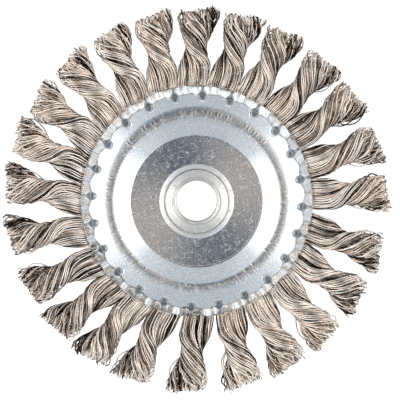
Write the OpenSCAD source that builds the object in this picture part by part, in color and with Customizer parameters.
// Twist-knot wire wheel brush for a grinder spindle.
// The wheel stands upright and spins about +Y: the bore's centre is the origin, and -Y is the front.
// Every module draws its piece flat, with the front face towards +Z, and upright() turns it up.

/* [Brush] */
// Diameter over the trimmed wire tips
brush_d = 127; // [122:0.5:132]
// Number of twisted knots, one to each hole of the holder disc
knots = 24; // [20:1:24]
// Clockwise angle of the first knot from the top, seen from the front
first_knot_angle = 10.5; // [0:0.5:15]

/* [Side plates] */
// Diameter of the two side plates
plate_d = 77.8; // [77:0.1:78.2]
// Thickness of the side plates' sheet
sheet = 1.2; // [0.8:0.1:1.2]
// Radius of the circle along which the plate bulges most
crown_r = 28.7; // [28.3:0.1:29.4]
// Height of the bulge above the wheel's middle plane
crown_h = 6.5; // [6.3:0.1:6.8]
// Depth of the crimp dimples between the knots
dimple_depth = 0.5; // [0.2:0.1:0.6]

/* [Holder disc] */
// Diameter of the disc that holds the knots
disc_d = 66; // [65:0.5:66]
// Thickness of that disc
disc_t = 3.2; // [3:0.1:3.4]
// Diameter of the circle of knot holes
hole_circle_d = 56; // [55:0.5:56]
// Diameter of each knot hole
hole_d = 5.2; // [5:0.1:5.4]

/* [Hub] */
// Minor diameter of the 5/8 inch 11 thread, drawn as a plain bore
bore_d = 13.6; // [13.4:0.1:13.8]
// Diameter of the countersinks at the bore's mouths
countersink_d = 17.2; // [16:0.1:17.6]
// Outer diameter of the threaded nut
nut_d = 21.1; // [20.5:0.1:21.1]
// Length of the threaded nut
nut_len = 9.6; // [8.8:0.1:10.4]
// Outer diameter of the eyelet's rolled lips
lip_d = 24.9; // [24.5:0.1:25.5]

/* [Hidden] */
knot_names = [for (k = [1:knots]) str(k < 10 ? "knot_0" : "knot_", k)];
hub_names = ["front_side_plate", "rear_side_plate", "knot_holder_disc", "hub_eyelet", "arbor_nut"];
$fn = 96;

steel_wire = [0.60, 0.56, 0.52];
zinc = [0.78, 0.80, 0.83];
bare_steel = [0.74, 0.74, 0.72];

pitch_angle = 360 / knots;
half_disc = disc_t / 2;
plate_r = plate_d / 2;

// Hub fits
fit_gap = 0.05;
eyelet_wall = 0.75;
eyelet_in_r = nut_d / 2 + fit_gap;
eyelet_out_r = eyelet_in_r + eyelet_wall;
plate_hole_r = eyelet_out_r + fit_gap;
lip_t = 0.9;
recess_h = half_disc + sheet;

// Side plate outline: flat recess, fillet, steep inner slope, crown of two arcs, gentle outer slope
inner_slope = 36.5;
outer_slope = 22;
fillet_r = 0.8;
crown_in_r = 4.5;
crown_out_r = 11;
arc_step = 7.5;

// Crimp dimples
dimple_ball_r = 2.6;
dimple_at_r = 36;

// Each knot is one bundle, threaded through its hole, folded upwards and twisted on itself
bend_r = 3.05;
bend_half = 2.15;
bend_at_r = hole_circle_d / 2 + bend_r;
disc_clear_r = disc_d / 2 + 0.4;
leg_sides = 8;
leg_steps = 12;
bend_step = 30;
tip_r = brush_d / 2;
// Where a leg has turned to about the knot's line, at each radius: -90 is behind the disc, 0 is on
// the clockwise side and 90 is in front
leg_turn = [[disc_clear_r - 0.5, -90], [39, 0], [44, 27], [49, 60], [53, 95], [57, 132], [tip_r, 178]];
// Half width of a leg away from the knot's line, and half width across, at each radius
leg_out = [[disc_clear_r, 1.35], [36, 2.3], [39, 2.75], [43, 2.75],
           [49, 2], [53, 1.8], [57, 2.4], [tip_r, 3.7]];
leg_across = [[disc_clear_r, 3.2], [36, 2.6], [39, 1.9], [44, 2.5],
              [49, 3.1], [53, 3.3], [57, 3.5], [tip_r, 3.9]];
// Flattening where the two legs touch, and the gap left between them
flat_side = 0.6;
leg_gap = [[disc_clear_r, bend_r - flat_side * leg_out[0][1]], [37, 0.1], [tip_r, 0.05]];
plate_gap = 0.25;
spread_past_rim = 0.25;
// Lean of each knot from its radius, in degrees, clockwise seen from the front
lean = [9, 6.5, 6, 3.5, 4, 4.5, 12, 12, 12.5, 11, 11, 15.5,
        20, 18.5, 15.5, 14.5, 17.5, 20, 19, 16, 14.5, 14.5, 12.5, 10.5];

function ease(x) = let (u = min(1, max(0, x))) u * u * (3 - 2 * u);
function mix(a, b, x) = a + (b - a) * ease(x);
function on_arc(centre, r, from, to) =
    let (n = max(1, round(abs(to - from) / arc_step)))
    [for (i = [0:n]) let (a = from + (to - from) * i / n) centre + r * [cos(a), sin(a)]];

// One side of the sheet: off is 0 for the outer face and the sheet's thickness for the inner one
function plate_line(off) =
    let (in_centre = [crown_r, crown_h - crown_in_r],
         out_centre = [crown_r, crown_h - crown_out_r],
         slope_top = in_centre + crown_in_r * [-sin(inner_slope), cos(inner_slope)],
         fillet_h = recess_h + fillet_r,
         fillet_end_h = fillet_h - fillet_r * cos(inner_slope),
         fillet_run = (slope_top[1] - fillet_end_h) / tan(inner_slope) + fillet_r * sin(inner_slope),
         fillet_x = slope_top[0] - fillet_run,
         out_end = out_centre + (crown_out_r - off) * [sin(outer_slope), cos(outer_slope)])
    concat(
        [[plate_hole_r, recess_h - off]],
        on_arc([fillet_x, fillet_h], fillet_r + off, -90, -90 + inner_slope),
        on_arc(in_centre, crown_in_r - off, 90 + inner_slope, 90),
        on_arc(out_centre, crown_out_r - off, 90 - arc_step, 90 - outer_slope),
        [[plate_r, out_end[1] - (plate_r - out_end[0]) * tan(outer_slope)]]);
function reversed(list) = [for (i = [len(list) - 1:-1:0]) list[i]];
function plate_face_h(r) = let (line = plate_line(0)) lookup(r, line);

module upright() { rotate([90, 0, 0]) children(); }
module around() { for (k = [0:knots - 1]) rotate([0, 0, -(first_knot_angle + k * pitch_angle)]) children(); }

// Pressed sheet disc with a sunk middle, a bulge over the knot roots and a dimple between each two knots
module side_plate() {
    color(zinc) difference() {
        rotate_extrude() polygon(concat(plate_line(0), reversed(plate_line(sheet))));
        rotate([0, 0, pitch_angle / 2]) around()
            translate([0, dimple_at_r, plate_face_h(dimple_at_r) + dimple_ball_r - dimple_depth])
                sphere(r = dimple_ball_r);
    }
}

// Flat steel disc whose holes each hold one knot, with eased hole edges that don't cut the wire
module knot_holder_disc() {
    edge = 0.6;
    color(bare_steel) difference() {
        cylinder(d = disc_d, h = disc_t, center = true);
        cylinder(r = plate_hole_r, h = disc_t + 1, center = true);
        around() translate([0, hole_circle_d / 2, 0]) {
            cylinder(d = hole_d, h = disc_t + 1, center = true);
            for (side = [0, 1]) mirror([0, 0, side])
                translate([0, 0, half_disc - edge])
                    cylinder(r1 = hole_d / 2, r2 = hole_d / 2 + edge + 0.1, h = edge + 0.1);
        }
    }
}

// Tube with both ends rolled outwards, which clamps the plates onto the holder disc
module hub_eyelet() {
    lip_r = lip_d / 2;
    lip_round = lip_t / 2;
    crest_r = eyelet_in_r + lip_t;
    half = [
        [eyelet_in_r, 0], [eyelet_in_r, recess_h],
        each on_arc([crest_r, recess_h], lip_t, 180 - arc_step, 90),
        each on_arc([lip_r - lip_round, recess_h + lip_round], lip_round, 90, -90),
        [eyelet_out_r, recess_h], [eyelet_out_r, 0]];
    color(zinc) rotate_extrude()
        polygon(concat(half, reversed([for (p = half) if (p[1] > 0) [p[0], -p[1]]])));
}

// Threaded nut pressed into the eyelet: plain bore at the thread's minor diameter, countersunk both ends
module arbor_nut() {
    bore_r = bore_d / 2;
    sink_r = countersink_d / 2;
    sink_h = sink_r - bore_r;
    out_r = nut_d / 2;
    end_h = nut_len / 2;
    edge = 0.4;
    color(bare_steel) rotate_extrude() polygon([
        [bore_r, end_h - sink_h], [sink_r, end_h], [out_r - edge, end_h], [out_r, end_h - edge],
        [out_r, edge - end_h], [out_r - edge, -end_h], [sink_r, -end_h], [bore_r, sink_h - end_h]]);
}

// Height the legs can take at radius r: the plates' inside, and a little more past their rims
function leg_room(r) = lookup(r, plate_line(sheet)) - plate_gap + spread_past_rim * max(0, r - plate_r);
// Ring of points round one leg at radius r, flattened where it touches the other leg or a plate
function leg_ring(r, side, tilt) =
    let (turn = lookup(r, leg_turn),
         out = side * [cos(turn), sin(turn)],
         across = [-sin(turn), cos(turn)],
         half = lookup(r, leg_out),
         centre = lookup(r, leg_gap) + flat_side * half)
    [for (j = [0:leg_sides - 1])
        let (a = 360 * j / leg_sides,
             squash = cos(a) < 0 && r > disc_clear_r ? flat_side : 1,
             p = (centre + half * squash * cos(a)) * out + lookup(r, leg_across) * sin(a) * across,
             along = (p[0] + tan(tilt) * (r - bend_at_r)) / r * 180 / PI)
        [r * sin(along), r * cos(along), sign(p[1]) * min(abs(p[1]), leg_room(r))]];
// Ring of points round the fold, where turn is 0 and 180 at the two legs
function fold_ring(turn) =
    let (part = 1 - abs(turn - 90) / 90,
         thick = mix(leg_out[0][1], bend_half, part),
         wide = mix(leg_across[0][1], bend_half, part),
         out = [0, -sin(turn), -cos(turn)])
    [for (j = [0:leg_sides - 1])
        let (a = 360 * j / leg_sides)
        [0, bend_at_r, 0] + (bend_r + thick * cos(a)) * out + [wide * sin(a), 0, 0]];

// One knot, standing up from its hole: down one leg, through the hole, and up the other
module knot(k) {
    radii = concat([for (i = [0:leg_steps]) tip_r + (disc_clear_r - tip_r) * i / leg_steps], [bend_at_r]);
    rings = concat(
        [for (r = radii) leg_ring(r, 1, lean[k])],
        [for (a = [bend_step:bend_step:180 - bend_step]) fold_ring(a)],
        [for (r = reversed(radii)) leg_ring(r, -1, lean[k])]);
    n = len(rings);
    walls = [for (i = [0:n - 2], j = [0:leg_sides - 1])
        let (a = i * leg_sides + j, b = i * leg_sides + (j + 1) % leg_sides)
        each [[b, a, b + leg_sides], [b + leg_sides, a, a + leg_sides]]];
    first_end = [for (j = [0:leg_sides - 1]) j];
    last_end = [for (j = [leg_sides - 1:-1:0]) (n - 1) * leg_sides + j];
    faces = concat(walls, [first_end, last_end]);
    color(steel_wire) rotate([0, 0, -(first_knot_angle + k * pitch_angle)])
        polyhedron(points = [for (ring = rings) each ring], faces = faces, convexity = 6);
}

upright() side_plate();  // front_side_plate
upright() mirror([0, 0, 1]) side_plate();  // rear_side_plate
upright() knot_holder_disc();
upright() hub_eyelet();
upright() arbor_nut();
for (k = [0:knots - 1]) upright() knot(k);
